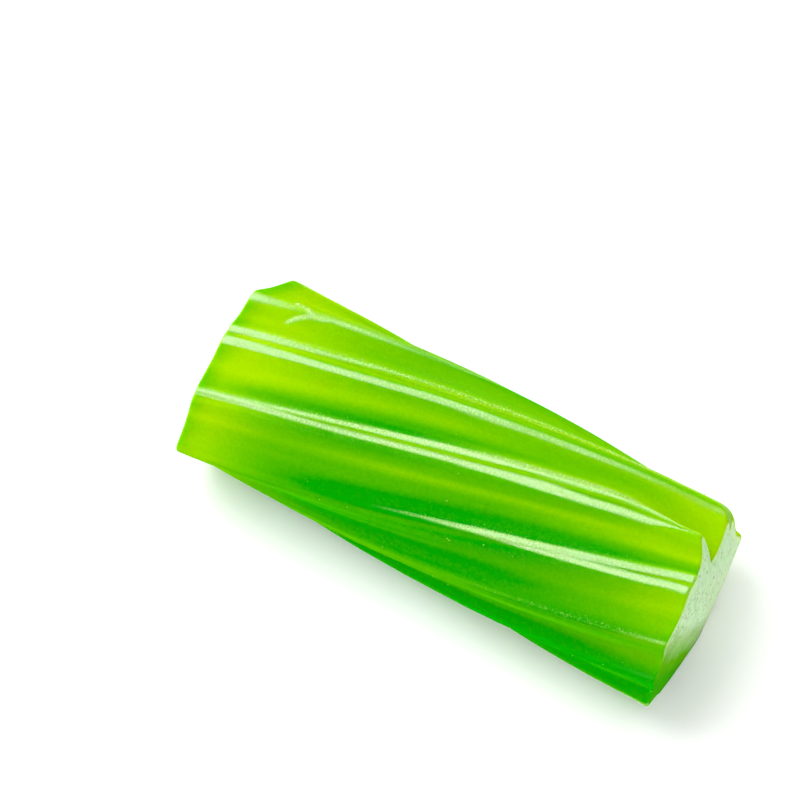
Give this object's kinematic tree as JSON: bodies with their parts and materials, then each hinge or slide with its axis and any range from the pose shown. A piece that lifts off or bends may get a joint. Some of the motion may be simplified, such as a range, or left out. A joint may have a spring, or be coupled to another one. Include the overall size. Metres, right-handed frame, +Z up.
{
  "type": "soft licorice stick",
  "caption": "Short cut stick of solid soft green licorice with a ribbed, fluted side, a slow left-handed twist and a flat pressed underside.",
  "frame": {"origin": "middle of the flat that the stick rests on, under the centre of its bounding box", "axes": "+X along the stick towards the cut with the deep notch, +Z up from the pressed flat"},
  "size_m": [0.047, 0.0186, 0.0171],
  "materials": {
    "green_jelly": "cloudy, slightly see-through bright green fruit licorice with a moist gloss on the ribs and frosty cut ends"
  },
  "bodies": {
    "root": {"licorice_stick": "green_jelly"}
  },
  "joints": []
}
